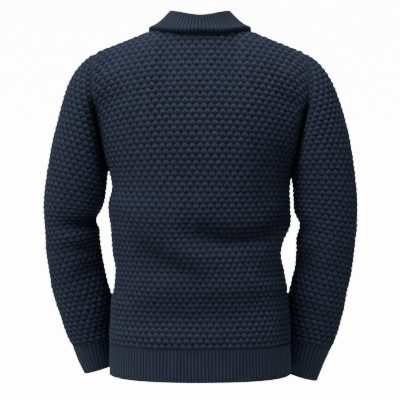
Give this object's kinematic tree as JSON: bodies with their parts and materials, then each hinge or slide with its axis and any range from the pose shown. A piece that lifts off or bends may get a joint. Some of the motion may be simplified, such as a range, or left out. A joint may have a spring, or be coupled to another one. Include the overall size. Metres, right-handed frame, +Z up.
{
  "type": "shawl-collar cardigan",
  "caption": "Hollow, filled-out bubble-knit cardigan with a rolled shawl collar, ribbed hem and cuffs, buttoned down the front.",
  "frame": {"origin": "between the shoulders, at the height of the neck seam, where the wearer's shoulders hold the garment up", "axes": "+Z up, -Y the buttoned front, +X towards the wearer's left"},
  "size_m": [0.594, 0.2826, 0.7138],
  "materials": {
    "bubble_knit": "matt, offset rows of raised bubbles",
    "rib_knit": "matt, upright ribs",
    "button": "smooth, slightly satin"
  },
  "bodies": {
    "root": {"back": "bubble_knit", "front_left": "bubble_knit", "front_right": "bubble_knit", "sleeve_left": "bubble_knit", "sleeve_right": "bubble_knit", "cuff_left": "rib_knit", "cuff_right": "rib_knit", "hem_back": "rib_knit", "hem_front_left": "rib_knit", "hem_front_right": "rib_knit", "band_left": "rib_knit", "band_right": "rib_knit", "collar": "rib_knit", "button_1": "button", "button_2": "button", "button_3": "button", "button_4": "button", "button_5": "button"}
  },
  "joints": []
}
